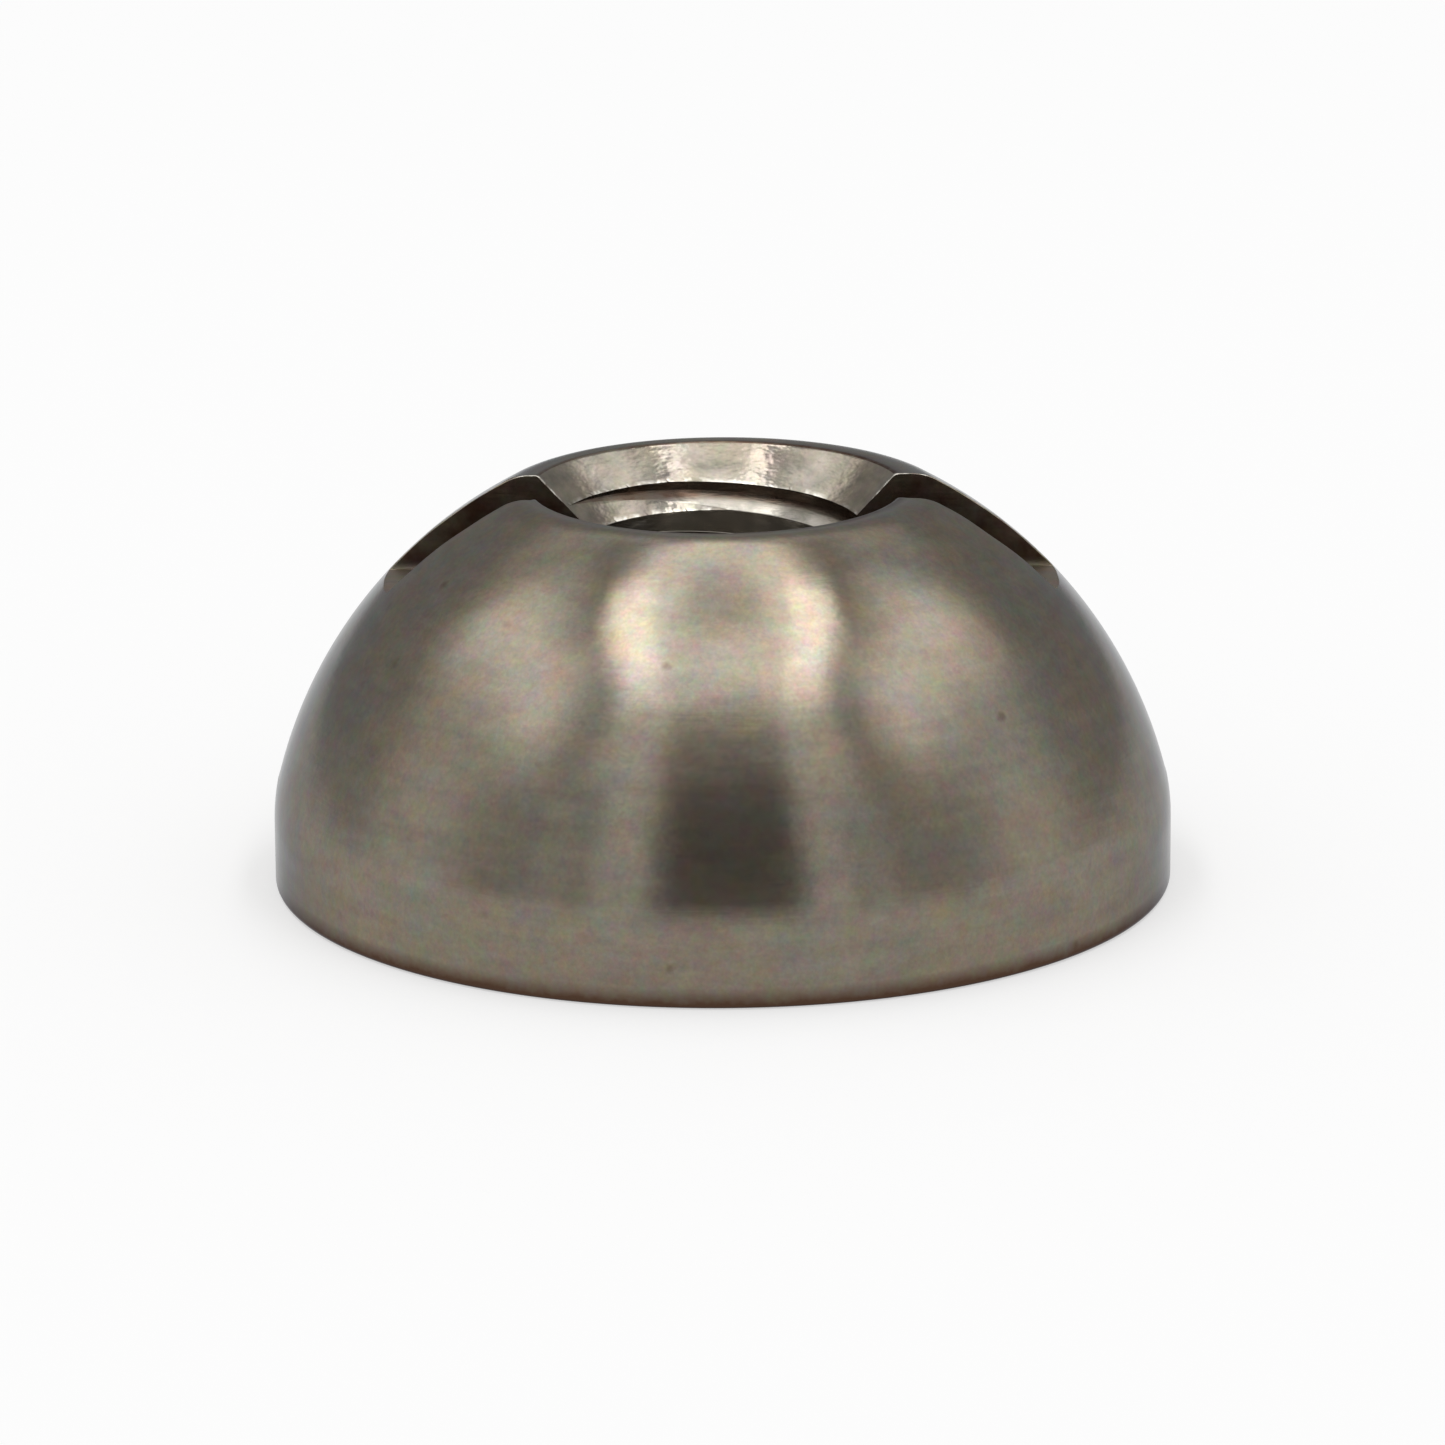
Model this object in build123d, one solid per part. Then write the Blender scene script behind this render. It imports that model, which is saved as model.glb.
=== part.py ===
"""Faucet shaft nut: a domed round nut turned from stainless bar and tapped through.

It screws onto the threaded end of a faucet's shaft and holds the seat washer there.
The flat base bears on the washer, and a slot across the dome takes a flat screwdriver.

Millimetres, +Z up. The origin is on the nut's axis, in the plane of the flat base.
"""

import os
from math import radians, sqrt, tan

from build123d import *

# Turned body
body_diameter = 12.00
height = 5.34
band_height = 1.10  # straight wall between the base and the dome
base_edge_radius = 0.04  # broken edge of the base

# Tapped hole: right-hand thread, 4.17 mm over its roots
thread_diameter = 4.17
thread_depth = 0.30  # from the roots to the drilled bore
mouth_relief = 0.10  # the chamfer at the base opens this far past the roots

# Top of the dome
countersink_angle = 82.0  # included
countersink_margin = 0.38  # the countersink opens this far past the thread's roots
land_width = 0.32  # flat ring between the countersink and the dome

# Screwdriver slot, along X
slot_width = 1.25
slot_depth = 1.27  # from the land down to the slot's floor

# Radii and heights that follow
body_radius = body_diameter / 2
thread_radius = thread_diameter / 2
bore_radius = thread_radius - thread_depth
mouth_radius = thread_radius + mouth_relief
mouth_depth = mouth_radius - bore_radius  # a 45 degree chamfer
countersink_radius = thread_radius + countersink_margin
countersink_depth = (countersink_radius - bore_radius) / tan(radians(countersink_angle / 2))
land_radius = countersink_radius + land_width

# The dome is one sphere, centred on the axis, through the band's top and the land's edge
dome_centre_z = (land_radius**2 - body_radius**2 + height**2 - band_height**2) / (
    2 * (height - band_height)
)
dome_radius = sqrt(body_radius**2 + (band_height - dome_centre_z) ** 2)


def turned_body():
    """Half-section of the nut, from the bore outwards, turned about the axis."""
    with BuildPart() as body:
        with BuildSketch(Plane.XZ):
            with BuildLine():
                wall_foot = (body_radius, base_edge_radius)
                band_top = (body_radius, band_height)
                land_edge = (land_radius, height)
                Line((mouth_radius, 0), (body_radius - base_edge_radius, 0))
                TangentArc((body_radius - base_edge_radius, 0), wall_foot, tangent=(1, 0))
                Line(wall_foot, band_top)
                RadiusArc(band_top, land_edge, -dome_radius)
                Polyline(
                    land_edge,
                    (countersink_radius, height),
                    (bore_radius, height - countersink_depth),
                    (bore_radius, mouth_depth),
                    (mouth_radius, 0),
                )
            make_face()
        revolve(axis=Axis.Z)
    return body.part


def driver_slot():
    """Straight cut for a flat screwdriver, across the whole dome."""
    return Box(
        body_diameter,
        slot_width,
        slot_depth,
        align=(Align.CENTER, Align.CENTER, Align.MAX),
    ).moved(Location((0, 0, height)))


shaft_nut = turned_body() - driver_slot()
shaft_nut.label = "shaft_nut"

os.makedirs("parts", exist_ok=True)
export_step(shaft_nut, "parts/shaft_nut.step")
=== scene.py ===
"""The shaft nut as it looks: its mesh with the cut thread, its finishes, and a light tent.

Lengths are in metres, +Z up. The nut stands on the floor with its slot along X, and the camera
looks from the -Y side. The script is laid out as an add-on and runs as a script.
"""

from math import asin, atan2, cos, pi, radians, sin, sqrt, tan

import bpy
import numpy as np
from bpy.props import FloatProperty, FloatVectorProperty, PointerProperty
from mathutils import Matrix, Vector


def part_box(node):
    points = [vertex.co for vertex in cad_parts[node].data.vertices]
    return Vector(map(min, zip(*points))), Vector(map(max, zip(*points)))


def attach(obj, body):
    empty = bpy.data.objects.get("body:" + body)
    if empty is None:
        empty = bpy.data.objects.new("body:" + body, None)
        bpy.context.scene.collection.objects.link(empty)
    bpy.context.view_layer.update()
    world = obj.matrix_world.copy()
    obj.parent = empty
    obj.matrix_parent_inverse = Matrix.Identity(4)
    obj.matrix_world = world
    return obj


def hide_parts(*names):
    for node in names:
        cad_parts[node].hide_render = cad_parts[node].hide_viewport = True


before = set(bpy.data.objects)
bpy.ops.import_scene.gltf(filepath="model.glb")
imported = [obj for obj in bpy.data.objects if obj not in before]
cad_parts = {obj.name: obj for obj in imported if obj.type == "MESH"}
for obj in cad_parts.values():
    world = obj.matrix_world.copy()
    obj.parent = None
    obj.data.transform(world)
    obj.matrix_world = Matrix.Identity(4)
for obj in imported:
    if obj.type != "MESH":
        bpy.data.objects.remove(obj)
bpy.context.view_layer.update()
nut_low, nut_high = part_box("shaft_nut")

bl_info = {
    "name": "Faucet shaft nut",
    "version": (1, 0, 0),
    "blender": (4, 5, 0),
    "location": "3D View > Sidebar > Shaft nut",
    "description": "Builds a domed, slotted and tapped nut, and the light tent that it stands in",
    "category": "Object",
}

MM = 0.001
CLOSE = 1e-9  # heights that are nearer than this count as one
HALF_COLUMNS = 122  # faces along the body between the two ends of the slot
SECTOR_COLUMNS = 14  # faces across each end of the slot, below its floor
UPPER_ROWS = 22  # rows of faces on the dome above the slot's floor
LOWER_ROWS = 40  # rows of faces on the dome below it
THREAD_TURNS = 8  # from above the countersink to below the base
LIP = 0.03 * MM  # the first column of faces beside the slot's edge
OVERLAP = 0.05 * MM  # how far the thread's rows reach up into the plain countersink
REACH_LEVELS = 1500  # heights at which the slot's reach round the hole is worked out
# Repeats after which the slot's reach, the grid of the hole and the thread's edge have settled
REACH_REPEATS, GRID_REPEATS, EDGE_REPEATS = 30, 15, 40
RAMP = 0.12 * MM  # height over which the rounding of the slot's edges reaches its full width
SEED = 11  # of the burrs and the uneven edges


def length(name, description, default, **more):
    """A length that the user can change, in metres."""
    return FloatProperty(
        name=name, description=description, default=default, unit="LENGTH", precision=6, **more
    )


def angle(name, description, default):
    """An angle that the user can change, given here in degrees."""
    return FloatProperty(
        name=name, description=description, default=radians(default), unit="ROTATION"
    )


def colour(name, description, default):
    """A colour that the user can change."""
    return FloatVectorProperty(
        name=name, description=description, default=default, subtype="COLOR", min=0, max=1
    )


class NutSizes(bpy.types.PropertyGroup):
    """Sizes of the nut. The outer ones come from the CAD part."""

    body_diameter: length("Body", "Diameter of the turned body", 2 * min(nut_high[0], -nut_low[0]))
    height: length("Height", "From the base to the top of the dome", nut_high[2] - nut_low[2])
    band_height: length("Band", "Straight wall between the base and the dome", 1.10 * MM)
    shoulder: length("Shoulder", "Rounding between the band and the dome", 2.5 * MM)
    base_edge: length("Base edge", "Radius of the base's broken edge", 0.08 * MM)
    thread_diameter: length("Thread", "Diameter over the thread's roots", 4.17 * MM)
    bore_diameter: length("Bore", "Diameter of the drilled hole before tapping", 3.57 * MM)
    pitch: length("Pitch", "Distance from one turn of the thread to the next", 0.79375 * MM)
    root_flat: length("Root flat", "Width of the flat at the bottom of the thread", 0.115 * MM)
    first_turn: length("First turn", "Depth of the first crest's edge on the +X side", 0.9635 * MM)
    mouth_diameter: length("Mouth", "Diameter of the chamfer at the base", 4.37 * MM)
    countersink: length("Countersink", "Diameter of the countersink at the top", 4.93 * MM)
    countersink_angle: angle("Countersink angle", "Included angle of the countersink", 82)
    land_width: length("Land", "Flat ring between the countersink and the dome", 0.32 * MM)
    land_inside: length("Land inside", "Rounding along the land's inner edge", 0.10 * MM)
    land_outside: length("Land outside", "Rounding along the land's outer edge", 0.70 * MM)
    slot_width: length("Slot width", "Width of the screwdriver slot", 1.25 * MM)
    slot_depth: length("Slot depth", "From the land to the slot's floor", 1.27 * MM)
    hole_drift: length("Hole drift", "How far the hole runs off centre along X", -0.055 * MM)
    edge_break: length("Edge break", "Rounding of the slot's edges at the back", 0.014 * MM)
    edge_wear: length("Edge wear", "Rounding of the slot's edges at the front", 0.05 * MM)
    burr: length("Burr", "Height of the burrs along the cut edges", 0.012 * MM)


class NutFinish(bpy.types.PropertyGroup):
    """Colours and finish of the steel."""

    steel: colour("Steel", "Colour of the turned steel", (0.234, 0.196, 0.149))
    steel_cool: colour("Cool steel", "Colour of its cooler patches", (0.216, 0.195, 0.160))
    # Also the colour of the painted shade round the base, which stands in for the reflected contact
    # shadow
    stain: colour("Stain", "Brown film in corners and along edges", (0.085, 0.048, 0.031))
    rust: colour("Rust", "Orange-brown film in the thread's groove", (0.11, 0.052, 0.028))
    # Also the colour that paints glints along the slot's and the thread's cut edges
    bare: colour("Bare steel", "Bright steel along freshly cut edges", (0.62, 0.59, 0.53))
    rim: colour("Rim", "Tint of the reflection at a glancing angle", (0.60, 0.62, 0.65))
    roughness: FloatProperty(
        name="Roughness", description="Roughness of the turned finish", default=0.195, min=0, max=1
    )
    stretch: FloatProperty(
        name="Stretch", description="How much the turning stretches a highlight", default=0.78,
        min=0, max=1,
    )


class StudioSettings(bpy.types.PropertyGroup):
    """Floor, lamps and camera."""

    floor: colour("Floor", "Colour of the floor", (0.50, 0.50, 0.50))
    floor_lift: FloatProperty(
        name="Floor lift", description="White added to the floor as it is seen", default=0.52,
        min=0, max=1,
    )
    ambient: FloatProperty(
        name="Ambient", description="Level of the even light on the floor", default=0.60, min=0
    )
    lamp_level: FloatProperty(
        name="Lamps", description="Brightness of the two strip lamps", default=2.75, min=0
    )
    ceiling: length("Ceiling", "Height of the strip lamps over the floor", 0.30)
    camera_distance: length("Camera distance", "From the camera to its target", 105.58 * MM)
    camera_elevation: angle("Camera elevation", "Height angle of the camera", 15.93)
    camera_roll: angle("Camera roll", "Tilt of the camera about its line of sight", -0.342)
    target: length("Target height", "Height of the camera's target", 2.084 * MM)


# The nut's mesh


def turned_normal(direction):
    """Outward normal of the profile, which runs from the hole over the top to the base."""
    return np.array([-direction[1], direction[0]])


def rounded(corner, arriving, leaving, radius, steps=3):
    """Rows of a small arc over a corner of the profile, each a point and its normal."""
    turn = np.arccos(np.clip(np.dot(arriving, leaving), -1, 1))
    start = corner - arriving * radius * tan(turn / 2)
    first = turned_normal(arriving)
    centre = start - first * radius
    rows = []
    for step in range(steps + 1):
        at = turn * step / steps
        normal = first * cos(at) + arriving * sin(at)
        rows.append((*(centre + normal * radius), *normal))
    return rows


def straight(start, end, steps):
    """Rows inside a straight run of the profile, without its two ends."""
    direction = (end - start) / np.linalg.norm(end - start)
    normal = turned_normal(direction)
    return [(*(start + (end - start) * i / steps), *normal) for i in range(1, steps)]


class Section:
    """The nut's half-section in radius and height, with everything that follows from the sizes."""

    def __init__(self, sizes):
        self.sizes = sizes
        self.radius = sizes.body_diameter / 2
        self.height = sizes.height
        self.half_slot = sizes.slot_width / 2
        self.floor = sizes.height - sizes.slot_depth
        self.bore = sizes.bore_diameter / 2
        self.root = sizes.thread_diameter / 2
        self.mouth = sizes.mouth_diameter / 2
        self.cone = sizes.countersink / 2
        self.cone_slope = tan(sizes.countersink_angle / 2)
        self.land = self.cone + sizes.land_width
        band = sizes.band_height
        self.dome_z = (self.land**2 - self.radius**2 + self.height**2 - band**2) / (
            2 * (self.height - band)
        )
        self.dome_radius = sqrt(self.radius**2 + (band - self.dome_z) ** 2)
        # The thread is met inside the countersink below this height
        self.thread_top = self.height - (self.cone - self.root) / self.cone_slope + OVERLAP
        self.thread_foot = 0.02 * MM
        self.thread_rows()

    def dome_point(self, at):
        """Point and normal of the dome at an angle from the axis."""
        return (
            self.dome_radius * sin(at),
            self.dome_z + self.dome_radius * cos(at),
            sin(at),
            cos(at),
        )

    def rows(self):
        """Rows of the turned surface: those above the slot's floor, then those below it."""
        sizes = self.sizes
        half = sizes.countersink_angle / 2
        up_cone = np.array([sin(half), cos(half)])
        outwards = np.array([1.0, 0.0])
        land_angle = atan2(self.land, self.height - self.dome_z)
        floor_angle = atan2(
            sqrt(self.dome_radius**2 - (self.floor - self.dome_z) ** 2), self.floor - self.dome_z
        )
        band_angle = atan2(self.radius, sizes.band_height - self.dome_z)
        dome_start = np.array([cos(land_angle), -sin(land_angle)])
        dome_end = np.array([cos(band_angle), -sin(band_angle)])
        down = np.array([0.0, -1.0])
        inwards = np.array([-1.0, 0.0])
        up_mouth = np.array([-1.0, 1.0]) / sqrt(2)

        depth = self.height - self.thread_top
        cone_foot = np.array([self.cone - depth * self.cone_slope, self.thread_top])
        inner = rounded(np.array([self.cone, self.height]), up_cone, outwards, sizes.land_inside, 6)
        outer = rounded(
            np.array([self.land, self.height]), outwards, dome_start, sizes.land_outside, 6
        )
        upper = straight(cone_foot, np.array(inner[0][:2]), 8) + inner
        upper += straight(np.array(inner[-1][:2]), np.array(outer[0][:2]), 5) + outer
        first = atan2(outer[-1][0], outer[-1][1] - self.dome_z)
        upper += [
            self.dome_point(first + (floor_angle - first) * i / UPPER_ROWS)
            for i in range(1, UPPER_ROWS + 1)
        ]

        corner = np.array([self.radius, sizes.band_height])
        shoulder = rounded(corner, dome_end, down, sizes.shoulder, 5)
        last = atan2(shoulder[0][0], shoulder[0][1] - self.dome_z)
        lower = [
            self.dome_point(floor_angle + (last - floor_angle) * i / LOWER_ROWS)
            for i in range(1, LOWER_ROWS)
        ]
        lower += shoulder
        foot = rounded(np.array([self.radius, 0.0]), down, inwards, sizes.base_edge, 5)
        lower += straight(np.array(shoulder[-1][:2]), np.array(foot[0][:2]), 8) + foot
        lip = rounded(np.array([self.mouth, 0.0]), inwards, up_mouth, 0.02 * MM)
        lower += straight(np.array(foot[-1][:2]), np.array(lip[0][:2]), 24) + lip
        return upper, lower

    def drift_share(self, radius, height):
        """How far a point of the turned surface follows the hole's drift, from 0 to 1."""
        share = 0
        if height > self.floor:
            share = (self.land - radius) / (self.land - self.cone)
        elif height < MM / 2:
            share = (self.radius - radius) / (self.radius - self.mouth)
        return min(max(share, 0), 1)

    def drift(self, radius, height):
        """How far along X a point of the turned surface is pulled by the hole's drift."""
        return self.sizes.hole_drift * self.drift_share(radius, height)

    def thread_rows(self):
        """Depths and radii of the rows of one turn, from a crest's upper edge down."""
        pitch = self.sizes.pitch
        depth = self.root - self.bore
        flank = depth * tan(radians(30))
        crest = pitch - 2 * flank - self.sizes.root_flat
        soft = 0.008 * MM
        turn = [(0, self.bore + soft / 2), (soft, self.bore)]
        turn += [(soft + (crest - 2 * soft) * i / 8, self.bore) for i in range(1, 9)]
        turn += [(crest, self.bore + soft / 2)]
        turn += [(crest + flank * i / 5, self.bore + depth * i / 5) for i in range(1, 6)]
        turn += [
            (crest + flank + self.sizes.root_flat * i / 3, self.root) for i in range(1, 4)
        ]
        turn += [(pitch - flank * i / 5, self.bore + depth * i / 5) for i in range(4, 0, -1)]
        self.turn = turn
        self.turn_depths = np.array([row[0] for row in turn] + [pitch])
        self.turn_radii = np.array([row[1] for row in turn] + [turn[0][1]])

    def crest_depth(self, theta):
        """Depth below the land of the first crest's upper edge. The thread is right-handed."""
        return self.sizes.first_turn - self.sizes.pitch * theta / (2 * pi)

    def thread(self, theta, z):
        """Radius of the cut thread alone."""
        down = (self.height - z - self.crest_depth(theta)) % self.sizes.pitch
        return np.interp(down, self.turn_depths, self.turn_radii)

    def sunk(self, z):
        """Radius of the countersink or of the chamfer at the base, whichever is larger."""
        top = self.cone - (self.height - z) * self.cone_slope
        return np.maximum(top, self.mouth - z)

    def hole(self, theta, z):
        """Radius of the hole: the largest of the thread, the countersink and the chamfer."""
        return np.maximum(self.thread(theta, z), self.sunk(z))


class NutMesh:
    """Collects the vertices and faces of the nut, and writes them to a mesh."""

    def __init__(self):
        self.points = []
        self.wear = []
        self.faces = []
        self.finishes = []
        self.normals = []

    def point(self, x, y, z, wear=0.0):
        """Adds a vertex. The last value is 1 on a bare, freshly cut edge, which also gets painted
        glints, and 0 away from it.
        """
        self.points.append((x, y, z))
        self.wear.append(wear)
        return len(self.points) - 1

    def face(self, corners, finish, normals=None):
        """Adds a face, without the corners that fall together."""
        kept = []
        kept_normals = []
        for i, corner in enumerate(corners):
            if corner != corners[i - 1]:
                kept.append(corner)
                kept_normals.append(normals[i] if normals is not None else (0, 0, 0))
        if len(kept) > 2:
            self.faces.append(kept)
            self.finishes.append(finish)
            self.normals.extend(kept_normals)

    def face_towards(self, corners, finish, direction, normals=None):
        """Adds a face that looks along the given direction."""
        places = np.array([self.points[corner] for corner in corners])
        after = np.roll(places, -1, axis=0)
        area = np.cross(places, after).sum(axis=0)
        if np.dot(area, direction) < 0:
            corners = corners[::-1]
            normals = normals[::-1] if normals is not None else None
        self.face(corners, finish, normals)

    def to_object(self, name, materials):
        """Makes the Blender object, with the normals of the turned surfaces set exactly."""
        mesh = bpy.data.meshes.new(name)
        mesh.from_pydata(self.points, [], self.faces)
        mesh.polygons.foreach_set("material_index", self.finishes)
        mesh.polygons.foreach_set("use_smooth", [True] * len(self.faces))
        for material in materials:
            mesh.materials.append(material)
        wear = mesh.attributes.new("wear", "FLOAT", "POINT")
        wear.data.foreach_set("value", self.wear)
        mesh.set_sharp_from_angle(angle=radians(24))
        mesh.normals_split_custom_set(self.normals)
        mesh.validate()
        piece = bpy.data.objects.new(name, mesh)
        bpy.context.scene.collection.objects.link(piece)
        return piece


TURNED, FACED, SUNK, SAWN, TAPPED = range(5)
# The body's two halves are the one at the back, 0, and the one at the front, 1
WALL_FACING = ((0, -1, 0), (0, 1, 0))  # where the slot's wall looks on each half
# Bare steel on the slot's edges is partly wear and partly painted glints, fullest on the back half
EDGE_WEAR_AND_GLINT = (1.0, 0.3)  # how bare the slot's edges are round the hole, on each half
DOME_WEAR_AND_GLINT = 0.3  # how much of that is left on the dome


def closed(ring):
    """A ring with its first entry once more at the end."""
    return [*ring, ring[0]]


def row_normals(row, angles):
    """Normals of the turned surface along one row."""
    return [(row[2] * cos(a), row[2] * sin(a), row[3]) for a in angles]


def uneven(rng, count, reach):
    """Smooth random values from 0 to 1 along an edge."""
    values = np.convolve(rng.random(count + 2 * reach), np.hanning(2 * reach + 3)[1:-1], "valid")
    values = values[:count] - values[:count].min()
    return values / max(values.max(), 1e-9)


def half_angles(start, stop, half_slot):
    """Angles of one half's columns, from the slot's reach at its two ends.

    start and stop end in the columns' axis. A narrow column lies beside each end.
    """
    wider = (half_slot + LIP) / half_slot
    first = np.arcsin(np.sin(start) * wider)
    last = pi - np.arcsin(np.sin(stop) * wider)
    share = np.clip((np.arange(HALF_COLUMNS + 1) - 1) / (HALF_COLUMNS - 2), 0, 1)
    theta = first + (last - first) * share
    theta[..., 0] = start[..., 0]
    theta[..., -1] = pi - stop[..., -1]
    return theta


def sector_angles(start, stop):
    """Angles of the columns inside one end of the slot."""
    return np.linspace(start, stop, SECTOR_COLUMNS + 1)[1:-1]


class NutBuilder:
    """Lays the faces of the nut: turned surface, slot and threaded hole."""

    def __init__(self, sizes):
        self.sizes = sizes
        self.section = Section(sizes)
        self.mesh = NutMesh()
        self.rng = np.random.default_rng(SEED)
        # Columns run round the nut from the slot's +X end: a half, a sector, a half, a sector
        self.left = HALF_COLUMNS + SECTOR_COLUMNS
        self.columns = 2 * self.left
        self.ends = ((0, HALF_COLUMNS), (self.left, self.left + HALF_COLUMNS))

    def in_sector(self, column):
        """Whether a column of the ring lies inside one end of the slot."""
        return column % self.left > HALF_COLUMNS

    # The threaded hole

    def slot_reach(self, half):
        """Angles from the X axis at which the slot's wall cuts the hole, over the height."""
        s = self.section
        levels = np.linspace(s.floor, s.thread_top, REACH_LEVELS)
        tables = []
        for mirror in (False, True):
            reach = np.full_like(levels, asin(s.half_slot / s.bore))
            for _ in range(REACH_REPEATS):
                theta = half * pi + (pi - reach if mirror else reach)
                reach = np.arcsin(s.half_slot / s.hole(theta, levels))
            tables.append(reach)
        return levels, tables

    def hole_grid(self):
        """Angles and heights of the hole's vertices: rows follow the thread, columns run down."""
        s = self.section
        per_turn = len(s.turn)
        depths = np.array([
            (k // per_turn - 1) * self.sizes.pitch + s.turn[k % per_turn][0]
            for k in range(THREAD_TURNS * per_turn + 1)
        ])[:, None]

        def heights(theta, top):
            """Heights of the rows at the given angles, cut off at the top and at the foot."""
            return np.clip(s.height - s.crest_depth(theta) - depths, s.thread_foot, top)

        halves = []
        for half in (0, 1):
            levels, (near, far) = self.slot_reach(half)
            z = np.full((len(depths), HALF_COLUMNS + 1), s.floor)
            for _ in range(GRID_REPEATS):
                start = np.interp(z, levels, near)
                stop = np.interp(z, levels, far)
                theta = half * pi + half_angles(start, stop, s.half_slot)
                z = heights(theta, s.thread_top)
            halves.append((theta, z))
        blocks = []
        for half in (0, 1):
            start = halves[half][0][-1, -1]
            stop = halves[1 - half][0][-1, 0] + 2 * pi * half
            between = np.tile(sector_angles(start, stop), (len(depths), 1))
            blocks += [halves[half], (between, heights(between, s.floor))]
        return [np.hstack(grids) for grids in zip(*blocks)]

    def snap_to_edges(self, theta, z):
        """Moves vertices onto the line where the thread runs out into the countersink.

        Gives the rows and columns of those that lie on the edge of a groove.
        """
        s = self.section
        sunk = s.sunk(z) > s.thread(theta, z)
        rows, columns = np.nonzero((sunk[:-1] != sunk[1:]) & (z[:-1] - z[1:] > CLOSE))
        into_thread = sunk[rows, columns]
        low = np.zeros(len(rows))
        high = np.ones(len(rows))
        for _ in range(EDGE_REPEATS):
            middle = (low + high) / 2
            at = z[rows, columns] * (1 - middle) + z[rows + 1, columns] * middle
            angle_at = theta[rows, columns] * (1 - middle) + theta[rows + 1, columns] * middle
            same = (s.sunk(at) > s.thread(angle_at, at)) == into_thread
            low = np.where(same, middle, low)
            high = np.where(same, high, middle)
        moved = np.where(into_thread, rows, rows + 1)
        for row, column, new_angle, new_z in zip(moved, columns, angle_at, at):
            theta[row, column] = new_angle
            z[row, column] = new_z
        on_edge = (at > s.floor) & into_thread
        return list(zip(moved[on_edge], columns[on_edge]))

    def lay_hole(self):
        """Lays the hole, and keeps the vertex of each row and column for what meets the hole."""
        s = self.section
        theta, z = self.hole_grid()
        edge = self.snap_to_edges(theta, z)
        floor_rows = {}
        for column in self.ends[0] + self.ends[1]:
            row = int(np.argmin(np.abs(z[:, column] - s.floor)))
            z[row, column] = s.floor
            floor_rows[column] = row
        radius = s.hole(theta, z)
        lift = uneven(self.rng, self.columns, 3)
        wear = np.zeros(z.shape)
        # Burrs along the thread's edge, with bare steel that also paints glints
        for row, column in edge:
            if not self.in_sector(column) and column not in floor_rows:
                radius[row, column] -= self.sizes.burr * lift[column]
                wear[row, column] = 1
        for half, (start, stop) in enumerate(self.ends):
            for column, mirror in ((start, False), (stop, True)):
                above = z[:, column] >= s.floor - CLOSE
                reach = np.arcsin(s.half_slot / radius[above, column])
                theta[above, column] = half * pi + (pi - reach if mirror else reach)

        # Rows that end above the hole's wall share its uppermost vertex, and likewise below it
        ids = np.zeros(z.shape, dtype=int)
        for column in range(self.columns):
            limit = s.floor if self.in_sector(column) else s.thread_top
            shared = {}
            for row, height in enumerate(z[:, column]):
                side = int(height >= limit - CLOSE) - int(height <= s.thread_foot + CLOSE)
                if side in shared:
                    ids[row, column] = shared[side]
                    continue
                angle_at = theta[row, column]
                ids[row, column] = self.mesh.point(
                    radius[row, column] * cos(angle_at) + self.sizes.hole_drift,
                    radius[row, column] * sin(angle_at),
                    height,
                    wear[row, column],
                )
                if side:
                    shared[side] = ids[row, column]
        self.hole_ids, self.hole_theta, self.hole_z = ids, theta, z
        self.hole_radius, self.floor_rows = radius, floor_rows
        for column in range(self.columns):
            self.hole_strip(column)

    def hole_column(self, column, beside_sector):
        """Vertices, angles, heights and radii of one column, cut off at the floor in a sector."""
        rows = np.arange(len(self.hole_z))
        if beside_sector and column in self.floor_rows:
            rows = np.maximum(rows, self.floor_rows[column])
        return [
            grid[rows, column]
            for grid in (self.hole_ids, self.hole_theta, self.hole_z, self.hole_radius)
        ]

    def hole_strip(self, column):
        """Faces between one column of the hole and the next, split along the sharper line."""
        s = self.section
        after = (column + 1) % self.columns
        beside = self.in_sector(column) or self.in_sector(after)
        left = self.hole_column(column, beside)
        right = self.hole_column(after, beside)
        if after == 0:
            # After a full turn each row has climbed by one pitch
            per_turn = len(s.turn)
            left = [np.concatenate([g, np.repeat(g[-1:], per_turn)]) for g in left]
            right = [np.concatenate([np.repeat(g[:1], per_turn), g]) for g in right]
            right[1] = right[1] + 2 * pi

        def miss(one, other):
            """How far the middle of a line between the columns lies from the hole's surface."""
            middle = [(one[k] + other[k]) / 2 for k in (1, 2, 3)]
            return np.abs(s.hole(middle[0], middle[1]) - middle[2])

        falling = miss([g[:-1] for g in left], [g[1:] for g in right])
        rising = miss([g[1:] for g in left], [g[:-1] for g in right])
        middle_z = (left[2][:-1] + right[2][1:]) / 2
        middle_angle = (left[1][:-1] + right[1][1:]) / 2
        is_sunk = s.sunk(middle_z) > s.thread(middle_angle, middle_z)
        for k in range(len(left[0]) - 1):
            a, b, c, d = left[0][k], right[0][k], right[0][k + 1], left[0][k + 1]
            finish = SUNK if is_sunk[k] else TAPPED
            inwards = (-cos(middle_angle[k]), -sin(middle_angle[k]), 0)
            pair = ((a, b, c), (a, c, d)) if falling[k] <= rising[k] else ((a, b, d), (b, c, d))
            for corners in pair:
                if len(set(corners)) == 3:
                    self.mesh.face_towards(list(corners), finish, inwards)

    # The turned surface and the slot

    def edge_wear(self, row, half):
        """How bare the slot's edge is at a row, which also paints glints on it: less on the dome
        than round the hole.
        """
        return EDGE_WEAR_AND_GLINT[half] * (1.0 if row[0] < self.section.land else DOME_WEAR_AND_GLINT)

    def turned_point(self, row, theta, rise=0.0, wear=0.0):
        """Vertex on the turned surface, pushed out along its normal by rise."""
        radius, z, out, up = row
        return self.mesh.point(
            (radius + out * rise) * cos(theta) + self.section.drift(radius, z),
            (radius + out * rise) * sin(theta),
            min(z + up * rise, self.section.height),
            wear,
        )

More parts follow.
